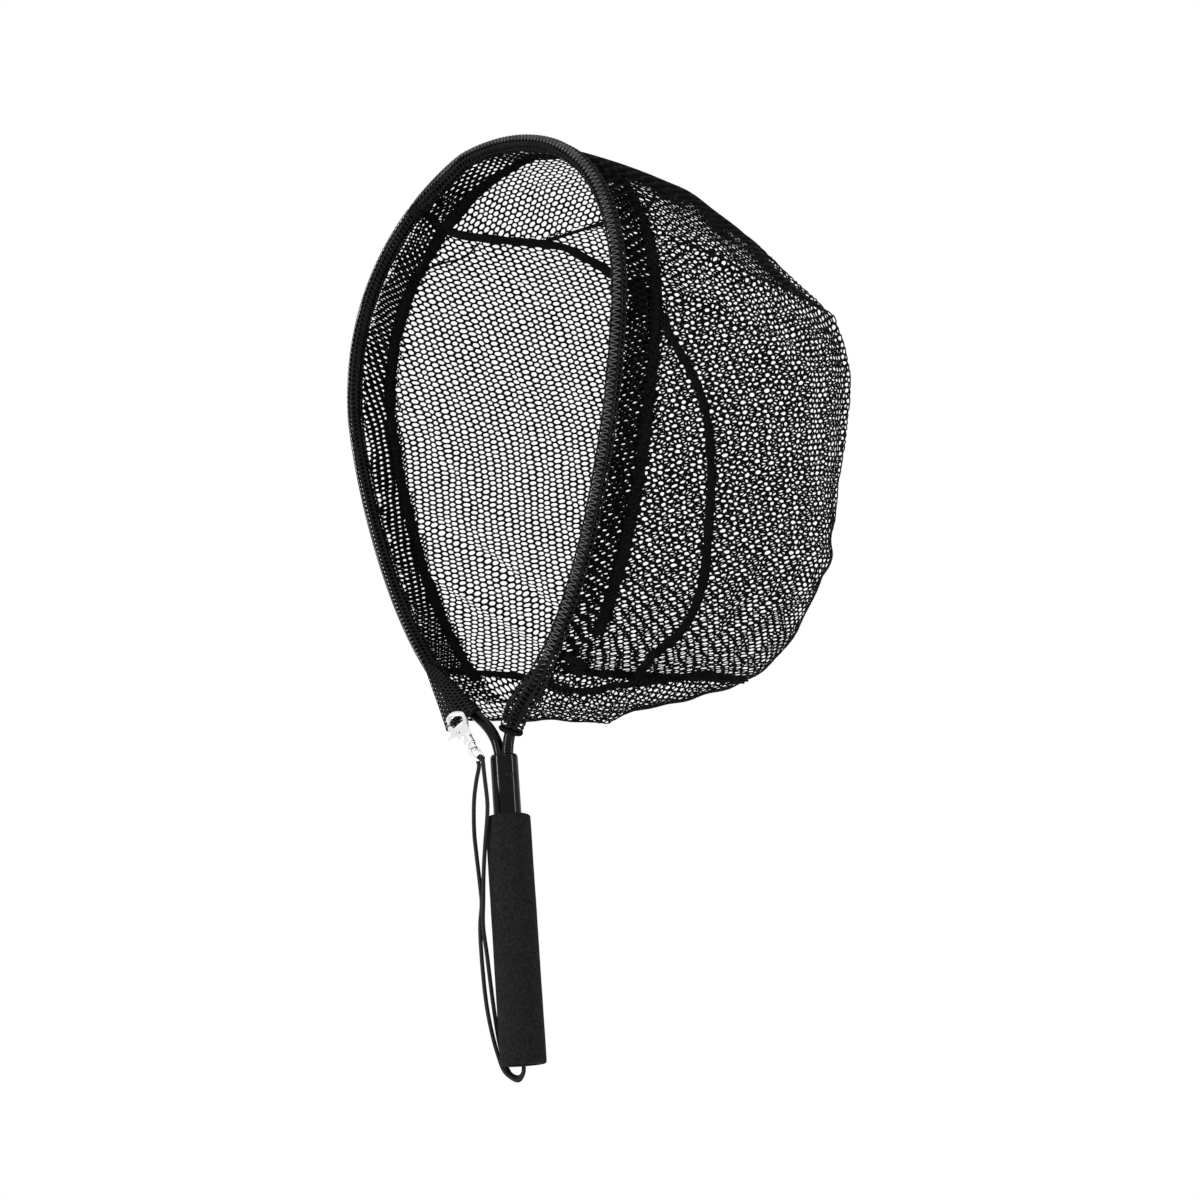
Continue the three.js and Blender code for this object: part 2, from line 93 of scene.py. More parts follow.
# The upper edge of the side panels, where the flat top cut begins.
TOP_LINE = np.array([
    (0.0, 513), (0.012, 513), (0.085, 508), (0.165, 500.5), (0.27, 500), (0.46, 502), (0.54, 500),
    (1.0, 500),
], float)

# ---- the knit ----
PITCH = (4.8, 4.0)        # column spacing and stitch height
STRAND = 1.18             # width of a strand
STRAND_THICK = 0.9
HOLE_REACH = 1.15         # a hole's width, as a share of the column spacing, before its strand
HOOP_CLEAR = 5.0          # distance of the first stitches from the hoop's centreline


# ---- small numeric helpers ----
def bezier(points, t):
    p = [np.asarray(q, float) for q in points]
    t = np.asarray(t, float)[:, None]
    s = 1 - t
    return p[0] * s**3 + 3 * p[1] * s * s * t + 3 * p[2] * s * t * t + p[3] * t**3


def smooth_table(keys, values, x):
    """Cubic interpolation through a table whose keys rise, with finite-difference slopes."""
    slope = np.gradient(values, keys, axis=0)
    x = np.clip(x, keys[0], keys[-1])
    i = np.clip(np.searchsorted(keys, x) - 1, 0, len(keys) - 2)
    step = (keys[i + 1] - keys[i])[:, None]
    t = (x[:, None] - keys[i][:, None]) / step
    a, b = values[i], values[i + 1]
    return ((1 + 2 * t) * (1 - t)**2 * a + t * (1 - t)**2 * step * slope[i]
            + t * t * (3 - 2 * t) * b + t * t * (t - 1) * step * slope[i + 1])


def unit(v):
    return v / np.maximum(np.linalg.norm(v, axis=-1, keepdims=True), 1e-12)


def run_of(points):
    """The length along a line up to each of its points."""
    return np.concatenate([[0], np.cumsum(np.linalg.norm(np.diff(points, axis=0), axis=1))])


def rows_at(places, along, rows):
    """Rows of a table, each column interpolated at places along it."""
    return np.column_stack([np.interp(places, along, rows[:, k]) for k in range(rows.shape[1])])


def polyline(points, count):
    """Evenly spaced points along a line."""
    points = np.asarray(points, float)
    along = run_of(points)
    return rows_at(np.linspace(0, along[-1], count), along, points)


def catmull(points, count):
    """Evenly spaced points of a centripetal Catmull-Rom curve."""
    p = np.asarray(points, float)
    p = np.vstack([2 * p[0] - p[1], p, 2 * p[-1] - p[-2]])

    def mixed(rows, low, high):
        return [((knots[k + high] - t) * rows[k] + (t - knots[k + low]) * rows[k + 1])
                / (knots[k + high] - knots[k + low]) for k in range(len(rows) - 1)]

    out = []
    for i in range(1, len(p) - 2):
        near = p[i - 1:i + 3]
        knots = [0.0]
        for k in range(3):
            knots.append(knots[-1] + np.linalg.norm(near[k + 1] - near[k])**0.5)
        t = np.linspace(knots[1], knots[2], 24, endpoint=False)[:, None]
        out.append(mixed(mixed(mixed(near, 0, 1), 0, 2), 1, 2)[0])
    out.append(p[-2][None])
    return polyline(np.vstack(out), count)


def eased(rows, reach):
    """Evenly spaced rows, each averaged with its neighbours; both ends stay where they are."""
    weights = np.hanning(2 * reach + 1)[1:-1] / reach
    ends = (reach - 1, reach - 1)
    padded = np.pad(rows, (ends, (0, 0)), mode="reflect", reflect_type="odd")
    return np.column_stack([np.convolve(column, weights, mode="valid") for column in padded.T])


def slow_waves(u, v, seed):
    """A soft unevenness of hung cloth, from -1 to 1."""
    rng = np.random.default_rng(seed)
    total = np.zeros(len(u))
    waves = 9
    for _ in range(waves):
        angle = rng.uniform(0, 2 * math.pi)
        pitch = rng.uniform(26, 90)
        turn = 2 * math.pi / pitch
        total += np.sin(turn * (u * math.cos(angle) + v * math.sin(angle)) + rng.uniform(0, 6.28))
    return total / waves


# ---- the hoop's centreline and the bag's surface ----
def hoop_limb(steps=60):
    """The right limb's centreline, from the mouth of the handle to the crest."""
    parts = [bezier(segment, np.linspace(0, 1, steps)) for segment in HOOP_SEGMENTS]
    line = np.vstack([parts[0]] + [p[1:] for p in parts[1:]])
    return np.column_stack([line[:, 0], 0 * line[:, 0], line[:, 1]])


LIMB = hoop_limb()
LEFT_LIMB = LIMB * [-1, 1, 1]


def limb_x(z):
    return np.interp(z, LIMB[:, 2], LIMB[:, 0])


def slice_points(s, z):
    """Points of the bag's arc at each height, one Bezier curve from limb to limb."""
    handles = smooth_table(BAG_SLICES[:, 0], BAG_SLICES[:, 1:], z)
    w = limb_x(z)
    t = s[:, None]
    q = 1 - t
    left = np.column_stack([-w, 0 * w])
    right = np.column_stack([w, 0 * w])
    flat = (left * q**3 + 3 * handles[:, 0:2] * q * q * t
            + 3 * handles[:, 2:4] * q * t * t + right * t**3)
    return np.column_stack([flat, z])


def bag(s, z):
    """Points of the bag at place s along its arc and height z, closed below and at the crest."""
    s, z = np.asarray(s, float), np.asarray(z, float)
    low, high = BAG_SLICES[0, 0], CREST
    body = slice_points(s, np.clip(z, low, high))
    lowest = np.full_like(z, low)
    fold = 0.5 * (slice_points(s, lowest) + slice_points(1 - s, lowest))
    fold[:, 2] = BAG_FLOOR
    down = np.clip((low - z) / (low - BAG_FLOOR), 0, 1)[:, None]
    x = (2 * s - 1) * limb_x(CREST)
    arch = LIMB[-60:]
    rim = np.interp(-np.abs(x), -arch[:, 0], arch[:, 2])
    crest = np.column_stack([x, np.full_like(x, RIM_CLEAR), rim])
    up = np.clip((z - high) / (HOOP_TOP - high), 0, 1)[:, None]
    return body * (1 - down) * (1 - up) + fold * down + crest * up


# ---- the bag's surface, measured along itself ----
class Surface:
    """A stretch of the bag as a grid of places (s, z), each with coordinates (u, v) in millimetres.

    u runs along each arc and v up each upright line. On a flat stretch they are x and y.
    """

    def __init__(self, low, high, flat=False, across=161, rows=150):
        self.s = np.linspace(0, 1, across)
        self.z = np.linspace(low, high, rows)
        grid_s, grid_z = np.meshgrid(self.s, self.z)
        self.points = bag(grid_s.ravel(), grid_z.ravel()).reshape(rows, across, 3)
        if flat:
            self.u, self.v = self.points[..., 0].copy(), self.points[..., 1].copy()
        else:
            along = np.linalg.norm(np.diff(self.points, axis=1), axis=2)
            up = np.linalg.norm(np.diff(self.points, axis=0), axis=2)
            self.u = np.concatenate([np.zeros((rows, 1)), np.cumsum(along, 1)], 1)
            self.u -= self.u[:, [across // 4]]
            self.v = np.concatenate([np.zeros((1, across)), np.cumsum(up, 0)], 0)
            self.v -= self.v[[rows // 2], :]
        self.normal = unit(np.cross(np.gradient(self.points, axis=0), np.gradient(self.points, axis=1)))

    def sample(self, field, s, z):
        """A field of the grid at any places, by bilinear interpolation."""
        x = np.clip(s, 0, 1) * (len(self.s) - 1)
        y = np.interp(z, self.z, np.arange(len(self.z)))
        i = np.clip(x.astype(int), 0, len(self.s) - 2)
        j = np.clip(y.astype(int), 0, len(self.z) - 2)
        fx, fy = x - i, y - j
        if field.ndim == 3:
            fx, fy = fx[:, None], fy[:, None]
        low = field[j, i] * (1 - fx) + field[j, i + 1] * fx
        high = field[j + 1, i] * (1 - fx) + field[j + 1, i + 1] * fx
        return low * (1 - fy) + high * fy

    def slopes(self, field, s, z, ds, dz):
        """The slopes of a field along s and z."""
        along = (self.sample(field, s + ds, z) - self.sample(field, s - ds, z)) / (2 * ds)
        up = (self.sample(field, s, z + dz) - self.sample(field, s, z - dz)) / (2 * dz)
        return along, up

    def nearest(self, u, v):
        """The places of a coarse grid that are nearest to the places (u, v)."""
        flat_u, flat_v = self.u[::3, ::3].ravel(), self.v[::3, ::3].ravel()
        grid_s, grid_z = (g.ravel() for g in np.meshgrid(self.s[::3], self.z[::3]))
        best = np.empty(len(u), int)
        for k in range(0, len(u), 2000):
            part = slice(k, k + 2000)
            best[part] = ((u[part, None] - flat_u)**2 + (v[part, None] - flat_v)**2).argmin(1)
        return grid_s[best], grid_z[best]

    def locate(self, u, v):
        """The (s, z) of the places (u, v) by Newton steps, and whether each was found."""
        s, z = self.nearest(u, v)
        ds, dz = 1e-3, (self.z[-1] - self.z[0]) * 1e-3
        for _ in range(9):
            du = self.sample(self.u, s, z) - u
            dv = self.sample(self.v, s, z) - v
            us, uz = self.slopes(self.u, s, z, ds, dz)
            vs, vz = self.slopes(self.v, s, z, ds, dz)
            det = us * vz - uz * vs
            det = np.where(np.abs(det) < 1e-6, 1e-6, det)
            s = np.clip(s - np.clip((du * vz - dv * uz) / det, -0.05, 0.05), 0, 1)
            z = np.clip(z - np.clip((dv * us - du * vs) / det, -15, 15), self.z[0], self.z[-1])
        miss = np.hypot(self.sample(self.u, s, z) - u, self.sample(self.v, s, z) - v)
        return s, z, miss < 0.8


MID = Surface(150, 514)
TOP = Surface(492, HOOP_TOP, flat=True)
BOTTOM = Surface(BAG_FLOOR, 192, flat=True)


# ---- folds of the cloth: each a line of (s, z), its height off the surface and its width ----
FOLDS = [
    ([(0.30, 486), (0.42, 490), (0.55, 489), (0.68, 486)], -5.0, 6.0),
    ([(1.0, 440), (0.97, 430), (0.95, 414), (0.91, 403), (0.885, 396), (0.80, 392), (0.72, 390)],
     6.0, 5.0),
    ([(0.0, 480), (0.075, 490), (0.13, 494), (0.165, 499)], -5.0, 5.0),
    ([(0.03, 320), (0.06, 310), (0.125, 270), (0.18, 229), (0.22, 205)], -4.0, 5.0),
    ([(0.02, 275), (0.08, 250), (0.15, 215), (0.20, 190)], 4.0, 5.0),
    ([(1.0, 385), (0.93, 372), (0.86, 350), (0.78, 335)], 4.0, 6.0),
    ([(1.0, 300), (0.92, 280), (0.84, 255), (0.76, 245)], -4.0, 7.0),
    ([(0.72, 470), (0.74, 430), (0.73, 391), (0.70, 342), (0.69, 300), (0.70, 250)], 5.0, 6.0),
    ([(0.30, 470), (0.33, 420), (0.32, 370)], 3.0, 8.0),
    ([(0.55, 470), (0.58, 430), (0.60, 380), (0.58, 320)], -4.0, 8.0),
    ([(0.50, 220), (0.60, 235), (0.72, 240), (0.84, 225)], 4.0, 7.0),
]


def seam_place(z):
    """The centre seam's place along the arc at each height, up to where it turns to the left."""
    rising = CENTRE_SEAM[:14]
    return np.interp(z, rising[:, 1], rising[:, 0])


def fold_lift(s, z):
    """How far the folds push the cloth outwards at (s, z), fading out at the hoop, top and bottom."""
    u, v = MID.sample(MID.u, s, z), MID.sample(MID.v, s, z)
    lift = np.zeros(len(u))
    for line, height, width in FOLDS:
        line = np.array(line, float)
        places = [MID.sample(field, line[:, 0], line[:, 1]) for field in (MID.u, MID.v)]
        dense = polyline(np.column_stack(places), 60)
        gap = np.full(len(u), 1e9)
        end = np.zeros(len(u))
        for k, (pu, pv) in enumerate(dense):
            d = (u - pu)**2 + (v - pv)**2
            closer = d < gap
            gap[closer] = d[closer]
            end[closer] = math.sin(math.pi * (k + 0.5) / len(dense))
        lift += height * np.sqrt(end) * np.exp(-gap / (width * width))
    inside = np.clip((500 - z) / 12, 0, 1) * np.clip((z - 168) / 12, 0, 1)
    return lift * inside * np.clip(np.minimum(s, 1 - s) / 0.06, 0, 1)


def cloth(s, z):
    """Points of the hung cloth at (s, z), with folds and unevenness, and its outward normals."""
    step_s, step_z, wave = 0.004, 0.6, 2.2
    along = bag(np.clip(s + step_s, 0, 1), z) - bag(np.clip(s - step_s, 0, 1), z)
    up = bag(s, np.minimum(z + step_z, HOOP_TOP)) - bag(s, z - step_z)
    normal = unit(np.cross(up, along))
    base = bag(s, z)
    edge = np.clip(np.minimum(s, 1 - s) / 0.08, 0, 1)
    lift = fold_lift(s, z) + edge * wave * slow_waves(base[:, 0] + base[:, 1], base[:, 2], 11)
    return base + normal * lift[:, None], normal


# ---- meshes ----
def link(name, data):
    piece = bpy.data.objects.new(name, data)
    bpy.context.scene.collection.objects.link(piece)
    return piece


def new_object(name, points_mm, *face_groups):
    """A smooth-shaded piece. Each group of faces is a table of the indices of their corners."""
    mesh = bpy.data.meshes.new(name)
    faces = [face for group in face_groups for face in group.tolist()]
    mesh.from_pydata((points_mm * MM).tolist(), [], faces)
    mesh.shade_smooth()
    mesh.validate()
    return link(name, mesh)


def tube(name, rings, ends=None):
    """A mesh through rings of points, closed by a fan at each of two end points if they are given."""
    count, sides = rings.shape[:2]
    start = np.arange(count - 1)[:, None] * sides
    here = np.arange(sides)
    after = (here + 1) % sides
    quads = np.stack([start + here, start + after, start + sides + after, start + sides + here], -1)
    quads = quads.reshape(-1, 4)
    points = rings.reshape(-1, 3)
    if ends is None:
        return new_object(name, points, quads)
    last = (count - 1) * sides
    low = np.column_stack([np.full(sides, len(points)), after, here])
    high = np.column_stack([np.full(sides, len(points) + 1), last + here, last + after])
    return new_object(name, np.vstack([points, ends]), quads, low, high)


def frames_along(line):
    """Two unit side directions at each point of a line, carried smoothly along it."""
    tangent = unit(np.gradient(line, axis=0))
    side = np.empty_like(line)
    first = np.cross(tangent[0], [0.0, 1.0, 0.0])
    if np.linalg.norm(first) < 0.2:
        first = np.cross(tangent[0], [1.0, 0.0, 0.0])
    side[0] = unit(first)
    for k in range(1, len(line)):
        carried = side[k - 1] - tangent[k] * (side[k - 1] @ tangent[k])
        side[k] = unit(carried)
    return side, np.cross(tangent, side)


def turns(sides):
    return np.arange(sides) / sides * 2 * math.pi


def sweep(name, line, radius, sides=16, closed_ends=True):
    """A tube along a line. radius is a number or a function of (index, angle)."""
    side, other = frames_along(line)
    angle = turns(sides)
    if callable(radius):
        r = radius(np.arange(len(line))[:, None], angle[None])
    else:
        r = np.full((len(line), sides), radius)
    across = np.cos(angle)[None, :, None] * side[:, None]
    out = across + np.sin(angle)[None, :, None] * other[:, None]
    rings = line[:, None] + r[..., None] * out
    return tube(name, rings, line[[0, -1]] if closed_ends else None)


def strip(name, line, normal, half_width, half_thick):
    """A flattened band along a line, with its flat side across the normal."""
    tangent = unit(np.gradient(line, axis=0))
    across = unit(np.cross(normal, tangent))
    up = np.cross(tangent, across)
    angle = turns(14)
    rings = (line[:, None] + across[:, None] * (half_width[:, None] * np.cos(angle))[..., None]
             + up[:, None] * (half_thick[:, None] * np.sin(angle))[..., None])
    return tube(name, rings, line[[0, -1]])


def lathe(name, profile, sides, ripple=None):
    """A closed profile of (radius, z) turned round the Z axis."""
    profile = np.asarray(profile, float)
    angle = turns(sides)
    r = np.repeat(profile[:, :1], sides, 1)
    z = np.repeat(profile[:, 1:], sides, 1)
    if ripple:
        r = r + ripple(angle[None], z)
    points = np.stack([r * np.cos(angle), r * np.sin(angle), z], -1).reshape(-1, 3)
    start = np.arange(len(profile))[:, None] * sides
    following = np.roll(start, -1, axis=0)
    here = np.arange(sides)
    after = (here + 1) % sides
    faces = np.stack([start + here, start + after, following + after, following + here], -1)
    return new_object(name, points, faces.reshape(-1, 4))


# ---- the knit: a net of hexagonal stitches with oval holes ----
CORNERS = np.array([
    (-1, 1.5), (0, 1.5), (1, 1.5), (2, 0), (1, -1.5), (0, -1.5), (-1, -1.5), (-2, 0),
]) / 3


def stitch_centres(u_range, v_range, pitch):
    """The (column, half-row) of each stitch in a range of (u, v)."""
    columns = np.arange(math.floor(u_range[0] / pitch[0]), math.ceil(u_range[1] / pitch[0]) + 1)
    rows = np.arange(math.floor(v_range[0] / pitch[1]), math.ceil(v_range[1] / pitch[1]) + 1)
    c, r = np.meshgrid(columns, rows)
    return np.column_stack([c.ravel(), 2 * r.ravel() + (c.ravel() % 2)]).astype(int)


def stitch_rims(cells, pitch, wrap):
    """The corners that stitches share, as (u, v), and the eight of them round each stitch.

    wrap is the number of columns after which a sleeve's net meets itself.
    """
    found = {}
    places = []
    rims = np.empty((len(cells), 8), int)
    steps = (CORNERS * 6).round().astype(int)
    for n, (column, row) in enumerate(cells):
        for k, (across, up) in enumerate(steps):
            a, b = 6 * column + across, 3 * row + up
            if wrap:
                a %= 6 * wrap
            if (a, b) not in found:
                found[a, b] = len(places)
                places.append((a / 6 * pitch[0], b / 6 * pitch[1]))
            rims[n, k] = found[a, b]
    return np.array(places), rims


def net_faces(rims, corners):
    """The faces of a net's front, back and outer edge. corners is how many corners it has."""
    holes = 2 * corners + np.arange(rims.size).reshape(-1, 8)
    following = np.roll(np.arange(8), -1)
    next_rims, next_holes = rims[:, following], holes[:, following]
    front = np.stack([rims, next_rims, next_holes, holes], -1).reshape(-1, 4)
    back = np.stack([holes, next_holes, next_rims + corners, rims + corners], -1).reshape(-1, 4)
    edges = np.stack([rims, next_rims], -1).reshape(-1, 2).tolist()
    known = {tuple(edge) for edge in edges}
    start, end = np.array([edge for edge in edges if (edge[1], edge[0]) not in known]).T
    wall = np.column_stack([end, start, start + corners, end + corners])
    return np.vstack([front, back, wall]).astype(int)


def knit_mesh(name, cells, place, pitch, strand, thick=STRAND_THICK, wrap=None, seed=1):
    """A closed mesh of one net. cells are (column, half-row) pairs; place(u, v, lift) gives points."""
    rng = np.random.default_rng(seed)
    rim_uv, rims = stitch_rims(cells, pitch, wrap)
    rim_uv += rng.normal(0, 0.07, rim_uv.shape)
    centre = cells * np.array([pitch[0], pitch[1] / 2])
    angle = np.arctan2(CORNERS[:, 1] * pitch[1], CORNERS[:, 0] * pitch[0])
    half = np.array([pitch[0] * HOLE_REACH, pitch[1]]) / 2 - strand / 2
    spread = rng.normal(1, 0.045, (len(cells), 1, 2))
    hole = np.column_stack([np.cos(angle) * half[0], np.sin(angle) * half[1]])
    hole_uv = (centre[:, None, :] + hole[None] * spread).reshape(-1, 2)
    front = place(rim_uv[:, 0], rim_uv[:, 1], thick / 2)
    back = place(rim_uv[:, 0], rim_uv[:, 1], -thick / 2)
    middle = place(hole_uv[:, 0], hole_uv[:, 1], 0.0)
    return new_object(name, np.vstack([front, back, middle]), net_faces(rims, len(rim_uv)))


def finish_piece(piece, mat, slot_name, *nodes, body="net"):
    """Gives a piece its material, the CAD nodes it stands for and the body it rides on."""
    piece.data.materials.clear()
    piece.data.materials.append(mat)
    if nodes:
        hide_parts(*nodes)
    if body:
        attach(piece, body)


def net(name, cells, place, mat, nodes, pitch=PITCH, strand=STRAND, held="hung", **knit):
    """A piece of net, knitted and given its finish.
    """
    piece = knit_mesh(name, cells, place, pitch, strand, **knit)
    finish_piece(piece, mat, "net", *nodes)


# ---- materials ----
def grey(value):
    return (value, value, value)


class Look:
    """A material in the making: its shader, and its place on the object in millimetres."""

    def __init__(self, name, base, roughness, **sockets):
        self.material = bpy.data.materials.new(name)
        self.material.use_nodes = True
        self.tree = self.material.node_tree
        self.shader = self.tree.nodes["Principled BSDF"]
        self.shader.inputs["Base Color"].default_value = (*base, 1)
        self.shader.inputs["Roughness"].default_value = roughness
        for key, value in sockets.items():
            self.shader.inputs[key.replace("_", " ")].default_value = value
        where = self.tree.nodes.new("ShaderNodeTexCoord")
        scale = self.tree.nodes.new("ShaderNodeVectorMath")
        scale.operation = "SCALE"
        scale.inputs["Scale"].default_value = 1 / MM
        self.tree.links.new(where.outputs["Object"], scale.inputs[0])
        self.where = scale.outputs[0]

    def texture(self, kind, output, **inputs):
        node = self.tree.nodes.new(kind)
        for key, value in inputs.items():
            node.inputs[key].default_value = value
        self.tree.links.new(self.where, node.inputs["Vector"])
        return node.outputs[output]

    def noise(self, scale, detail=3.0, rough=0.5):
        return self.texture("ShaderNodeTexNoise", "Fac", Scale=scale, Detail=detail, Roughness=rough)

    def cells(self, scale):
        return self.texture("ShaderNodeTexVoronoi", "Distance", Scale=scale)

    def ramp(self, value, *stops):
        """Colours between stops of (value, colour)."""
        node = self.tree.nodes.new("ShaderNodeValToRGB")
        elements = node.color_ramp.elements
        while len(elements) < len(stops):
            elements.new(0.5)
        for element, (place, color) in zip(elements, stops):
            element.position = place
            element.color = (*color, 1)
        self.tree.links.new(value, node.inputs["Fac"])
        return node.outputs["Color"]

    def vary(self, socket, value, *stops):
        """Lets a texture's value move a colour or roughness of the shader between stops."""
        self.tree.links.new(self.ramp(value, *stops), self.shader.inputs[socket])

    def bump(self, height, strength, distance):
        node = self.tree.nodes.new("ShaderNodeBump")
        node.inputs["Strength"].default_value = strength
        node.inputs["Distance"].default_value = distance * MM
        self.tree.links.new(height, node.inputs["Height"])
        self.tree.links.new(node.outputs["Normal"], self.shader.inputs["Normal"])


def gloss_tube_material():
    """Gloss black lacquer with a faint orange peel and rubbed patches."""
    look = Look("gloss_tube", grey(0.003), 0.12, Coat_Weight=0.12, Coat_Roughness=0.06,
                Specular_IOR_Level=0.05)
    wear = look.noise(0.05, 6, 0.65)
    look.vary("Base Color", wear, (0.35, grey(0.001)), (0.7, grey(0.003)))
    look.vary("Roughness", wear, (0.3, grey(0.10)), (0.75, grey(0.24)))
    look.bump(look.noise(0.35, 2), 0.06, 0.4)
    return look.material


def foam_material():
    """Matt closed-cell foam: fine pores and a mottled charcoal skin."""
    look = Look("foam", grey(0.012), 0.85, Specular_IOR_Level=0.03)
    mottle = look.noise(0.55, 8, 0.7)
    look.vary("Base Color", mottle, (0.3, grey(0.003)), (0.55, grey(0.008)), (0.75, grey(0.016)))
    look.vary("Roughness", mottle, (0.3, grey(0.92)), (0.75, grey(0.74)))
    pores = look.ramp(look.cells(1.5), (0.05, grey(0.0)), (0.4, grey(1.0)))
    look.bump(pores, 0.4, 0.25)
    return look.material


def knit_material(name, low, high, gloss):
    """Coated black yarn: a slight sheen and darker stitches here and there."""
    look = Look(name, grey(low), 0.5, Specular_IOR_Level=gloss)
    patches = look.noise(0.09, 5, 0.6)
    look.vary("Base Color", patches, (0.3, grey(low)), (0.75, grey(high)))
    look.vary("Roughness", patches, (0.3, grey(0.42)), (0.75, grey(0.62)))
    look.bump(look.noise(4.0, 2), 0.35, 0.12)
    return look.material


def tape_material():
    """Matt sewn tape with a close weave."""
    look = Look("tape", grey(0.003), 0.8, Specular_IOR_Level=0.02)
    weave = look.noise(2.2, 4, 0.7)
    look.vary("Base Color", weave, (0.3, grey(0.001)), (0.75, grey(0.007)))
    look.bump(weave, 0.6, 0.3)
    return look.material


def cord_material():
    """Braided cover of elastic cord."""
    look = Look("braid", grey(0.006), 0.6, Specular_IOR_Level=0.1)
    fibres = look.noise(3.5, 3)
    look.vary("Base Color", fibres, (0.3, grey(0.003)), (0.7, grey(0.012)))
    look.bump(fibres, 0.3, 0.1)
    return look.material


def chrome_material():
    """Bright plate with light handling marks."""
    bright, dull = (0.88, 0.89, 0.91), (0.66, 0.67, 0.69)
    look = Look("chrome", bright, 0.09, Metallic=1.0)
    marks = look.noise(0.9, 6, 0.75)
    look.vary("Base Color", marks, (0.3, bright), (0.8, dull))
    look.vary("Roughness", marks, (0.35, grey(0.06)), (0.8, grey(0.2)))
    look.bump(look.noise(2.0, 3), 0.05, 0.1)
    return look.material


def plastic_material():
    """Satin moulded plastic."""
    look = Look("plastic", grey(0.025), 0.5)
    grain = look.noise(3.0, 3)
    look.vary("Base Color", grain, (0.3, grey(0.02)), (0.7, grey(0.035)))
    look.bump(grain, 0.2, 0.1)
    return look.material


def floor_material():
    """Pale paper with a barely uneven tone."""
    look = Look("floor", grey(0.9), 0.9)
    look.vary("Base Color", look.noise(0.002, 2), (0.3, grey(0.885)), (0.7, grey(0.9)))
    return look.material


TUBE = gloss_tube_material()
FOAM = foam_material()
KNIT = knit_material("knit", 0.0005, 0.004, 0.02)
# A lighter grey copy of the yarn: a painted highlight for the light on the sleeves' knit crests.
HIGHLIGHT_YARN = knit_material("painted_highlight_yarn", 0.02, 0.07, 0.35)
SLEEVE_KNIT = knit_material("sleeve_knit", 0.001, 0.006, 0.06)
TAPE = tape_material()
BRAID = cord_material()
CHROME = chrome_material()
PLASTIC = plastic_material()


# ---- camera, light and backdrop ----
def camera():
    """The photograph's viewpoint: in front, to the right and slightly below the middle."""
    data = bpy.data.cameras.new("camera")
    data.lens = 62.8
    data.sensor_width = 36
    data.shift_y = 0.05
    data.clip_start = 0.05
    data.clip_end = 60
    eye = link("camera", data)
    azimuth, elevation, roll = 0.8374, -0.2526, 0.0766
    place = (0.9954, -0.8100, -0.1592)
    back = Vector((math.sin(azimuth) * math.cos(elevation),
                   -math.cos(azimuth) * math.cos(elevation), math.sin(elevation)))
    turn = (-back).to_track_quat("-Z", "Y").to_matrix() @ Matrix.Rotation(-roll, 3, "Z")
    eye.matrix_world = Matrix.Translation(place) @ turn.to_4x4()
    bpy.context.scene.camera = eye


def area_light(name, place, aim, size, power):
    data = bpy.data.lights.new(name, "AREA")
    data.shape = "RECTANGLE"
    data.size, data.size_y = size
    data.energy = power
    lamp = link(name, data)
    lamp.location = place
    lamp.rotation_euler = (Vector(aim) - Vector(place)).to_track_quat("-Z", "Y").to_euler()


def studio():
    """White surroundings, a pale floor, and soft lamps that draw thin lights along the tubes."""
    world = bpy.data.worlds.new("studio")
    world.use_nodes = True
    background = world.node_tree.nodes["Background"]
    background.inputs["Color"].default_value = (1, 1, 1, 1)
    background.inputs["Strength"].default_value = 1.0
    bpy.context.scene.world = world
    bpy.context.scene.view_settings.view_transform = "Standard"
    area_light("front_strip", (-0.35, -1.5, 0.15), (0, 0, 0.1), (0.12, 1.5), 34)
    area_light("rear_strip", (1.2, 0.75, 0.2), (0, 0, 0.1), (0.10, 1.4), 14)
    area_light("key", (1.3, -0.9, 1.1), (0, 0, 0.2), (0.8, 0.8), 5)
    area_light("top", (0.2, 0.3, 2.0), (0, 0.1, 0.3), (1.2, 1.2), 5)
    bpy.ops.mesh.primitive_plane_add(size=24, location=(0, 0, -0.45))
    floor = bpy.context.active_object
    floor.name = "floor"
    floor.data.materials.append(floor_material())


camera()
studio()


# ---- the lanyard, on the route of its two strands and the bend over the eye ----
STRAND_A = np.array([
    (1.2, -0.9, -61), (1.2, -0.9, -75), (0.7, -1.3, -81), (-2.1, -2.6, -84.9), (-8.4, -3.7, -82.6),
    (-15, -3.7, -77.5), (-17, -5.3, -69.5), (-16.2, -9.2, -58.5), (-15.7, -13, -40),
    (-14.9, -15.2, -17.5), (-14.1, -15.8, 9), (-12.4, -14.9, 23.5), (-12.4, -15.3, 34.5),
    (-12.7, -16.5, 54.5), (-12.6, -17.2, 67.5), (-11.4, -16.7, 87.5), (-9, -16, 99),
    (-6.7, -14.8, 109.1),
], float)
STRAND_B = np.array([
    (-1.2, 0.9, -61), (-1.2, 0.9, -75), (-2, 1.1, -80.4), (-5.5, 0.6, -82.8), (-11.6, -0.4, -81),
    (-16.9, -0.2, -74.5), (-17, -3.7, -63), (-14.3, -8.9, -40.5), (-12.3, -13.2, -8.7),
    (-10.1, -16.6, 9.5), (-9.2, -16.1, 23.5), (-7.6, -15.7, 41), (-4.2, -16, 57.5),
    (0.2, -16.3, 75.5), (0.7, -16, 84), (-0.6, -15.7, 97), (-1.7, -15.4, 105.5), (-2.5, -15.2, 112.1),
], float)
CORD_RADIUS = 1.25
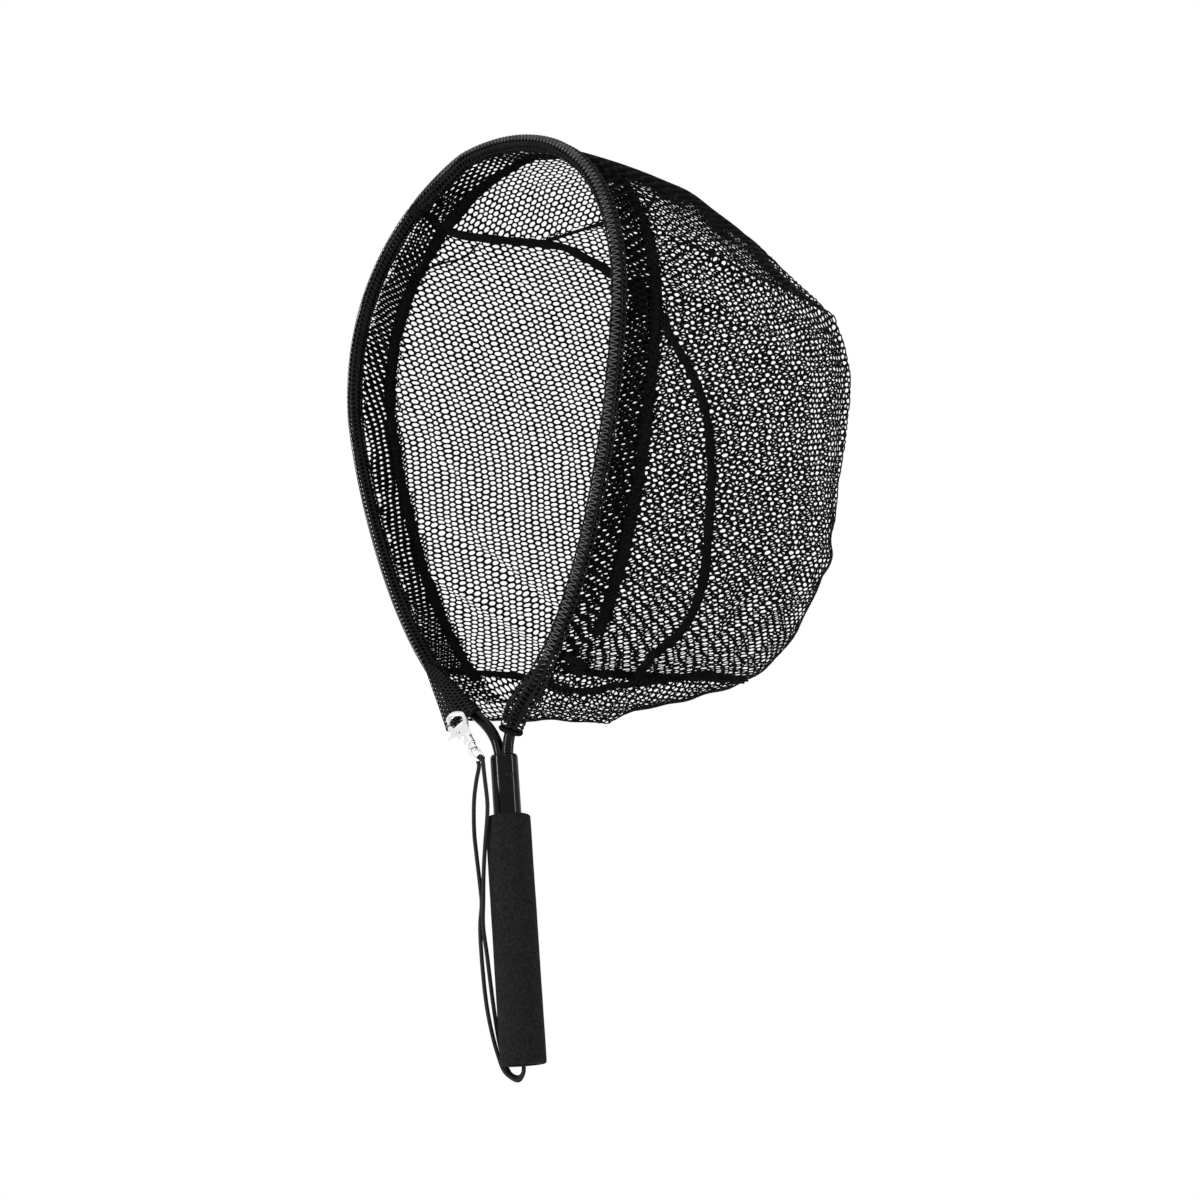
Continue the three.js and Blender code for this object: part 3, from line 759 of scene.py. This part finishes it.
# Along the snap hook's axes: the eye's turn, the height of its bar, half the bend's width, and the
# heights between which the cord goes over from hanging still to turning with the eye.
EYE_TURN = 0.7
EYE_BAR = -14.4
BEND_REACH = 2.6
CLIP_HOOK = np.array((-28.7, -13.2, 142.5))
CLIP_EYE = np.array((-8.1, -14.7, 115.5))
CLIP_FRONT = np.array((0.548, -0.701, 0.457))
HOOK_CENTRE = 24.5


def clip_axes():
    """The snap hook's own axes: across it, towards its back and up to its hook."""
    up = unit(CLIP_HOOK - CLIP_EYE)
    back = -CLIP_FRONT
    back = unit(back - up * (back @ up))
    return np.vstack([np.cross(back, up), back, up])


CLIP_AXES = clip_axes()
CLIP_ORIGIN = CLIP_HOOK - CLIP_AXES[2] * HOOK_CENTRE


def in_clip(points):
    """Points given along the snap hook's axes, in the frame of the net."""
    return CLIP_ORIGIN + np.asarray(points, float) @ CLIP_AXES


def bend_points():
    """The cord's half turn over the bar of the eye."""
    angle = np.linspace(0, math.pi, 9)
    y = BEND_REACH * np.cos(angle)
    z = EYE_BAR + BEND_REACH * np.sin(angle)
    return in_clip(np.column_stack([-y * math.sin(EYE_TURN), y * math.cos(EYE_TURN), z]))


def lanyard():
    """One braided cord: up one strand, over the bar of the eye and down the other."""
    route = np.vstack([STRAND_A, bend_points()[1:-1], STRAND_B[::-1]])
    line = eased(catmull(route, 1500), 5)
    length = run_of(line)[-1]
    step = length / (len(line) - 1)

    def braid(index, angle):
        lay = 2.6 * step * index
        weave = np.sin(8 * angle + lay) * np.sin(8 * angle - lay)
        return CORD_RADIUS * (1 + 0.075 * weave)

    piece = sweep("lanyard_cord", line, braid, sides=32)
    finish_piece(piece, BRAID, "cord", "lanyard_strand_a", "lanyard_strand_b", "lanyard_bight",
                 body=None)
    cord_knot()
    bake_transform(piece)


def cord_knot():
    """The lanyard's two ends tied in one overhand knot inside the handle."""
    t = np.linspace(0, 2 * math.pi, 160, endpoint=False)
    r = 2.0 + 0.9 * np.cos(3 * t)
    ring = np.column_stack([r * np.cos(2 * t), r * np.sin(2 * t), -57 + 1.6 * np.sin(3 * t)])
    piece = sweep("lanyard_knot", np.vstack([ring, ring[:1]]), CORD_RADIUS, sides=14)
    finish_piece(piece, BRAID, "cord", "cord_knot")
    return piece


lanyard()


# ---- hoop, handle and grip ----
def hoop():
    """One tube from leg to leg."""
    x, foot = HOOP_LEG
    z = np.linspace(foot, HOOP_SEGMENTS[0][0][1], 30)[:-1]
    right = np.column_stack([np.full_like(z, x), 0 * z, z])
    left = (right * [-1, 1, 1])[::-1]
    loop = np.vstack([right, LIMB, LEFT_LIMB[::-1][1:], left])
    piece = sweep("hoop", polyline(loop, 900), HOOP_RADIUS, sides=28)
    finish_piece(piece, TUBE, "tube_gloss", "hoop_tube")


def quarter(centre, radii, start, end, steps):
    """Points of an arc in a lathe's profile, for angles from start to end."""
    return [(centre[0] + radii[0] * math.cos(a), centre[1] + radii[1] * math.sin(a))
            for a in np.linspace(start, end, steps)]


def handle():
    """The handle tube, with a rounded shoulder at its mouth."""
    outer, inner, bottom, top, shoulder = 8.7, 7.7, -74.0, 115.0, 2.6
    profile = [(inner, bottom), (outer, bottom), (outer, 60), (outer, top - shoulder)]
    profile += quarter((inner, top - shoulder), (outer - inner, shoulder), 0, math.pi / 2, 9)[1:]
    finish_piece(lathe("handle", profile, 96), TUBE, "tube_gloss", "handle_tube")


def neck_cap():
    """The plug's end, sunk between the hoop's legs in the mouth of the handle."""
    rows = [(0.4, 50), (7.35, 50), (7.35, 111.2), (6.8, 112), (0.4, 112)]
    finish_piece(lathe("neck_plug_end", rows, 64), PLASTIC, "plastic", "neck_plug")


def uneven_foam():
    """A function that gives the foam's skin its faint, long unevenness."""
    starts = np.random.default_rng(4).uniform(0, 6.28, 12)

    def ripple(angle, z):
        total = 0.0
        for k in range(6):
            total = total + np.sin((k + 1) * angle + 0.05 * (k + 2) * z + starts[k]) / (k + 2)
        return 0.05 * total
    return ripple


def grip():
    """The foam sleeve, with rounded ends."""
    outer, inner, half, edge = 14.1, 9.0, 76.2, 1.6
    core, end = outer - edge, half - edge
    profile = [(inner, -half), (core, -half)]
    profile += quarter((core, -end), (edge, edge), -math.pi / 2, 0, 7)[1:]
    profile += [(outer, z) for z in np.linspace(-end, end, 110)[1:-1]]
    profile += quarter((core, end), (edge, edge), 0, math.pi / 2, 7)
    profile.append((inner, half))
    piece = lathe("grip", profile, 120, uneven_foam())
    finish_piece(piece, FOAM, "foam", "foam_grip")


def rivet():
    """A blind rivet through the neck: a low dome on each side of the handle."""
    turn, seat, height = -0.35, 8.72, 101.0
    dome = [(0.01, 0.0), (2.4, 0.0), (2.4, 0.25), (2.0, 0.75), (1.2, 1.1), (0.5, 1.15), (0.01, 0.95)]
    for side, name, nodes in ((-1, "back", ["frame_rivet"]), (1, "front", [])):
        head = lathe(f"rivet_head_{name}", dome, 40)
        out = Vector((side * math.cos(turn), side * math.sin(turn), 0))
        place = Matrix.Translation(out * (seat * MM) + Vector((0, 0, height * MM)))
        head.data.transform(place @ out.to_track_quat("Z", "Y").to_matrix().to_4x4())
        finish_piece(head, TUBE, "tube_gloss", *nodes)


def coat(node, mat):
    """A kept CAD piece, given its material."""
    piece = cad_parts[node]
    piece.data.materials.clear()
    piece.data.materials.append(mat)
    return piece


hoop()
handle()
neck_cap()
grip()
rivet()
coat("butt_plug", PLASTIC)


# ---- the snap hook: cast pieces, whose edges are softened by so fine a grid and so many rounds ----
CASTINGS = {
    "hook_body": (0.2, 8),
    "gate_lever": (0.16, 6),
    "swivel_eye": (0.15, 6),
    "gate_pin": (0.1, 3),
    "swivel_rivet": (0.13, 3),
}


def soften(node, voxel, rounds):
    piece = coat(node, CHROME)
    remesh = piece.modifiers.new("remesh", "REMESH")
    remesh.mode = "VOXEL"
    remesh.voxel_size = voxel * MM
    remesh.use_smooth_shade = True
    smooth = piece.modifiers.new("smooth", "SMOOTH")
    smooth.factor = 0.5
    smooth.iterations = rounds


for casting, (grid, times) in CASTINGS.items():
    soften(casting, grid, times)


# ---- the mesh bag ----
def bag_place(surface, offset=0.0, shift=(0.0, 0.0)):
    """A function that puts (u, v, lift) on the hung cloth, with the weave pulled a little askew."""
    drift, spread = 1.7, 2.2

    def place(u, v, lift):
        u, v = u + shift[0], v + shift[1]
        du = drift * slow_waves(u * spread, v * spread, 3)
        dv = drift * slow_waves(u * spread, v * spread, 4)
        s, z, _ = surface.locate(u + du, v + dv)
        points, _ = cloth(s, z)
        normal = unit(surface.sample(surface.normal, s, z))
        return points + normal * np.reshape(lift + offset, (-1, 1))
    return place


def hoop_gap(points):
    """The distance of points from the hoop's centreline."""
    best = np.full(len(points), 1e9)
    for q in np.vstack([LIMB[::2], LEFT_LIMB[::2]]):
        best = np.minimum(best, np.linalg.norm(points - q, axis=1))
    return best


def cells_on(surface, shift=(0.0, 0.0)):
    """The stitches that fit on a stretch of the bag: their cells, (s, z) places and points."""
    u_range = (surface.u.min(), surface.u.max())
    v_range = (surface.v.min(), surface.v.max())
    cells = stitch_centres(u_range, v_range, PITCH)
    u = cells[:, 0] * PITCH[0] + shift[0]
    v = cells[:, 1] * PITCH[1] / 2 + shift[1]
    s, z, found = surface.locate(u, v)
    return cells[found], s[found], z[found], surface.sample(surface.points, s[found], z[found])


def above(line, s, z):
    """Whether places of the bag lie above a line of (s, z)."""
    return z > np.interp(s, line[:, 0], line[:, 1])


def panels():
    """The bag's four cuts of net: left and right of the centre seam, over the top and below."""
    cells, s, z, points = cells_on(MID)
    between = above(BOTTOM_SEAM, s, z) & ~above(TOP_LINE, s, z)
    keep = (hoop_gap(points) > HOOP_CLEAR) & between
    left = s < seam_place(z)
    net("net_left_panel", cells[keep & left], bag_place(MID), KNIT, ["left_panel"])
    net("net_right_panel", cells[keep & ~left], bag_place(MID), KNIT, ["right_panel"])
    cells, s, z, points = cells_on(TOP)
    keep = (hoop_gap(points) > HOOP_CLEAR) & above(TOP_LINE, s, z)
    net("net_top_panel", cells[keep], bag_place(TOP), KNIT, [])
    cells, s, z, points = cells_on(BOTTOM)
    keep = (hoop_gap(points) > HOOP_CLEAR) & ~above(BOTTOM_SEAM, s, z)
    net("net_bottom_panel", cells[keep], bag_place(BOTTOM), KNIT, [])


panels()


# ---- the hem: a second layer of net inside the rim, its stitching and its sleeve ----
HEM_DEPTH = 29.0
HEM_DROP = 2.3            # how far the turned-in layer lies inside the panel
HEM_STRAND = 1.9
HEM_SHIFT = (2.5, 1.1)    # puts its stitches between those of the panel behind it
JOIN = (-56.0, 511.0)     # the x and z where the left sleeve meets the right one


def rim_side(points):
    """True where a place belongs to the left panel's hem."""
    return (points[:, 0] < 0) & ((points[:, 2] < JOIN[1]) | (points[:, 0] < JOIN[0]))


def hem_layers():
    """The turned-in layer of each hem."""
    for k, surface in enumerate((MID, TOP), 1):
        cells, s, z, points = cells_on(surface, HEM_SHIFT)
        gap = hoop_gap(points)
        deep = (gap > 5.2) & (gap < HEM_DEPTH) & (z > 158)
        keep = deep & (above(TOP_LINE, s, z) == (surface is TOP))
        left = rim_side(points)
        place = bag_place(surface, -HEM_DROP, HEM_SHIFT)
        for name, chosen in (("left", keep & left), ("right", keep & ~left)):
            if chosen.sum() > 20:
                nodes = [f"{name}_hem"] if surface is MID else []
                net(f"net_{name}_hem_{k}", cells[chosen], place, KNIT, nodes, strand=HEM_STRAND)


def hem_line(depth):
    """The (s, z) places that lie a given depth from the hoop, up one side, over the top and down."""
    left, right, top = [], [], []
    fine = np.linspace(0.002, 0.3, 120)
    for z in np.linspace(178, 488, 60):
        level = np.full(len(fine), z)
        left.append((np.interp(depth, hoop_gap(bag(fine, level)), fine), z))
        right.append((1 - np.interp(depth, hoop_gap(bag(1 - fine, level)), fine), z))
    heights = np.linspace(524.5, 480, 120)
    for s in np.linspace(0.1, 0.9, 40):
        far = hoop_gap(bag(np.full(len(heights), s), heights)) > depth
        top.append((s, heights[far.argmax()]))
    left, right, top = np.array(left), np.array(right), np.array(top)
    corner = 0.015
    top = top[(top[:, 0] > left[-1, 0] + corner) & (top[:, 0] < right[-1, 0] - corner)]
    return np.vstack([left, top, right[::-1]])


def off_surface(places, offset, ease=0):
    """A line over (s, z) places of the hung cloth, eased over some of its points, and its normals."""
    points, normal = cloth(places[:, 0], places[:, 1])
    if ease:
        whole = eased(np.hstack([points, normal]), ease)
        points, normal = whole[:, :3], unit(whole[:, 3:])
    return points + normal * offset, normal


def zigzag(line, normal, reach, pitch):
    """A thread that crosses a line from side to side."""
    length = run_of(line)
    crossings = int(length[-1] / pitch * 2)
    along = np.linspace(0, length[-1], crossings * 4)
    points = rows_at(along, length, line)
    up = rows_at(along, length, normal)
    side = unit(np.cross(unit(np.gradient(points, axis=0)), up))
    phase = along / pitch * 2 * math.pi
    lift = 0.35 * np.cos(2 * phase)
    return points + side * (reach * np.sin(phase))[:, None] + up * lift[:, None]


def band_along(name, points, normals, half_width, half_thick):
    """A sewn band with an uneven, slightly gathered edge."""
    rng = np.random.default_rng(len(points))
    knots = max(int(run_of(points)[-1] / 5), 4)
    places = np.linspace(0, knots - 1, len(points))
    uneven = np.interp(places, np.arange(knots), rng.normal(0, 0.1, knots))
    return strip(name, points, normals, half_width * (1 + uneven), half_thick * (1 + 1.5 * uneven))


def sewn(piece, *nodes, mat=TAPE):
    finish_piece(piece, mat, "thread", *nodes)


def thread(name, line, radius, *nodes, mat=TAPE):
    """A sewing thread along a line."""
    sewn(sweep(name, line, radius, sides=6), *nodes, mat=mat)


def hem_stitching():
    """The turned edge of the hem, a close band of doubled net, with the thread that holds it."""
    lift = 1.2
    points, normals = off_surface(catmull(hem_line(HEM_DEPTH - 4.0), 900), -lift)
    cut = int(np.argmin(rim_side(points)))
    for name, part in (("left", slice(0, cut + 1)), ("right", slice(cut, None))):
        line, up = points[part], normals[part]
        sewn(band_along(f"hem_edge_{name}", line, up, 4.0, 1.0))
        thread(f"hem_thread_{name}", zigzag(line - up * lift, up, 1.3, 2.6), 0.4,
               f"{name}_hem_stitching")


SLEEVE_COLUMNS = 8
SLEEVE_RADIUS = 4.75
SLEEVE_PITCH = (2 * math.pi * SLEEVE_RADIUS / SLEEVE_COLUMNS, 3.45)
SLEEVE_STRAND = 1.5


def sleeve(name, line, node, flare):
    """Net wrapped round the hoop. flare gives the extra radius in millimetres along the line."""
    length = run_of(line)
    end = length[-1]
    side, other = frames_along(line)
    cells = stitch_centres((0, (SLEEVE_COLUMNS - 1) * SLEEVE_PITCH[0]), (1, end - 2), SLEEVE_PITCH)
    cells = cells[(cells[:, 0] >= 0) & (cells[:, 0] < SLEEVE_COLUMNS)]
    gap = 12
    knots = np.random.default_rng(len(name)).normal(0, 0.16, int(end / gap) + 3)

    def place(u, v, lift):
        v = np.clip(v, 0, end)
        angle = u / (SLEEVE_COLUMNS * SLEEVE_PITCH[0]) * 2 * math.pi
        uneven = np.interp(v / gap, np.arange(len(knots)), knots)
        loose = flare(v / end) * (0.75 + 0.25 * np.sin(3 * angle + v * 0.12))
        r = SLEEVE_RADIUS + uneven + loose + lift
        at, a, b = (rows_at(v, length, rows) for rows in (line, side, other))
        return at + r[:, None] * (unit(a) * np.cos(angle)[:, None] + unit(b) * np.sin(angle)[:, None])

    net(name, cells, place, SLEEVE_KNIT, [node], SLEEVE_PITCH, SLEEVE_STRAND, "stretched",
        thick=0.95, wrap=SLEEVE_COLUMNS, seed=5)
    # A lighter thread along the sleeve's front: a painted highlight.
    highlight_thread(name + "_highlight_thread", line[line[:, 2] > 151.9])


def highlight_thread(name, line):
    """The chain stitch that closes a sleeve, drawn as a zigzag thread along its front, towards the
    outside of the hoop. Its lighter grey yarn is a painted highlight for the grey light on the knit's
    crests.
    """
    middle = (0.0, 0.0, 330.0)
    outward = np.cross(unit(np.gradient(line, axis=0)), (0.0, 1.0, 0.0))
    outward *= np.sign((outward * (line - middle)).sum(1))[:, None]
    facing = unit(outward * 0.55 + np.array((0.0, -0.85, 0.0)))
    thread(name, zigzag(line + facing * 5.35, facing, 2.3, 3.6), 0.36, mat=HIGHLIGHT_YARN)


def sleeves():
    """The two sleeves, the tape round their join and the top corner, and the right one's rolled end."""
    gap = 0.5
    x, z = LEFT_LIMB[:, 0], LEFT_LIMB[:, 2]
    left = LEFT_LIMB[(z > 148) & ((z < 300) | (x < JOIN[0] - gap))]
    over = LEFT_LIMB[(x > JOIN[0] + gap) & (z > 400)][::-1]
    down = LIMB[::-1][1:]
    right = np.vstack([over, down[down[:, 2] > 131]])

    def tight_foot(t):
        return 0.8 * np.clip(1 - t / 0.06, 0, 1)

    def loose_foot(t):
        return 4.2 * np.clip((t - 0.90) / 0.06, 0, 1)**1.2 * np.clip((1.04 - t) / 0.06, 0, 1)

    sleeve("hem_sleeve_left", polyline(left, 500), "left_hem_sleeve", tight_foot)
    sleeve("hem_sleeve_right", polyline(right, 700), "right_hem_sleeve", loose_foot)
    wrap("sleeve_join", LEFT_LIMB, JOIN, 5.0, 5.7)
    wrap("top_wrap", LIMB, (106.0, 482.0), 3.5, 6.2)
    end = down[down[:, 2] > 129]
    ring = roll(end[-1], unit(end[-1] - end[-3]), 6.4)
    sewn(sweep("sleeve_roll", ring, 1.5, closed_ends=False))


def roll(centre, axis, radius):
    """A closed circle about an axis."""
    angle = np.linspace(0, 2 * math.pi, 49)[:, None]
    side = unit(np.cross(axis, (0, 1, 0)))
    return centre + radius * (np.cos(angle) * side + np.sin(angle) * np.cross(axis, side))


def wrap(name, limb, place, reach, radius):
    """A few close turns of tape round the hoop at a place (x, z)."""
    count = 24
    centre = np.hypot(limb[:, 0] - place[0], limb[:, 2] - place[1]).argmin()
    near = np.linalg.norm(limb - limb[centre], axis=1) < reach
    rise = np.sin(np.linspace(0, math.pi, count))**0.5

    def girth(n, angle):
        return radius - 0.5 + 0.5 * rise[n] + 0.12 * np.sin(2 * n + 3 * angle)

    sewn(sweep(name, polyline(limb[near], count), girth, sides=24))


# ---- the loose end of the left sleeve ----
def loose_end():
    """The sleeve's lower end, two layers, which hangs straight on where the hoop turns in."""
    top = np.array([(-69.5, -5.6, 192), (-56, -5.6, 186)], float)
    foot = np.array([(-44, -8.6, 139), (-13.5, -7.4, 147.2)], float)
    size = (24.0, 54.0)
    pitch = (3.8, 3.3)
    cells = stitch_centres((1, size[0] - 1), (1, size[1] - 1), pitch)
    out = unit(np.cross(top[1] - top[0], foot[0] - top[0]))

    def layer(depth):
        def place(u, v, lift):
            a = np.clip(u / size[0], 0, 1)[:, None]
            b = np.clip(v / size[1], 0, 1)[:, None]
            low = foot[0] * (1 - a) + foot[1] * a
            high = top[0] * (1 - a) + top[1] * a
            bow = slow_waves(u * 1.6, v * 0.9, 31)[:, None] - 1.6 * np.sin(math.pi * a) * (1 - b)
            return low * (1 - b) + high * b + out * (np.reshape(lift, (-1, 1)) + depth + bow)
        return place

    for k, depth, nodes in ((0, -1.0, ["left_sleeve_end"]), (1, 1.2, [])):
        net(f"sleeve_end_{k + 1}", cells, layer(depth), SLEEVE_KNIT, nodes, pitch, 2.1, seed=7 + k)


# ---- the bound seams and the gathered folds ----
def seam(name, places, half_width, *nodes):
    """A bound seam: a band of tape and the two rows of thread that hold it."""
    count, thick, clear = 900, 1.6, 0.008
    places = catmull(places, count)
    places = places[(places[:, 0] > clear) & (places[:, 0] < 1 - clear)]
    points, normals = off_surface(places, -0.4, ease=22)
    even = polyline(np.hstack([points, normals]), count)
    points, normals = even[:, :3], unit(even[:, 3:])
    sewn(band_along(name, points, normals, half_width, thick), *nodes)
    across = unit(np.cross(normals, unit(np.gradient(points, axis=0))))
    for k, side in enumerate((-0.5, 0.5), 1):
        line = points + across * (side * half_width) + normals * thick
        thread(f"{name}_thread_{k}", zigzag(line, normals, 0.4, 2.8), 0.28)


def fold(name, places, half_width):
    """A thin gathered fold of the cloth."""
    points, normals = off_surface(catmull(places, 160), 0.0, ease=7)
    sewn(band_along(name, points, normals, half_width, 0.7))


def seams():
    seam("centre_seam_tape", CENTRE_SEAM, 3.3, "centre_seam")
    seam("bottom_seam_tape", BOTTOM_SEAM, 2.8)
    top = [(0.30, 499.5), (0.38, 501), (0.46, 502), (0.54, 500), (0.7, 500), (0.85, 500), (0.93, 500)]
    fold("top_fold", top, 1.3)
    fold("side_fold", [(0.075, 490), (0.10, 492), (0.13, 494), (0.165, 500)], 0.8)


hem_layers()
hem_stitching()
sleeves()
loose_end()
seams()
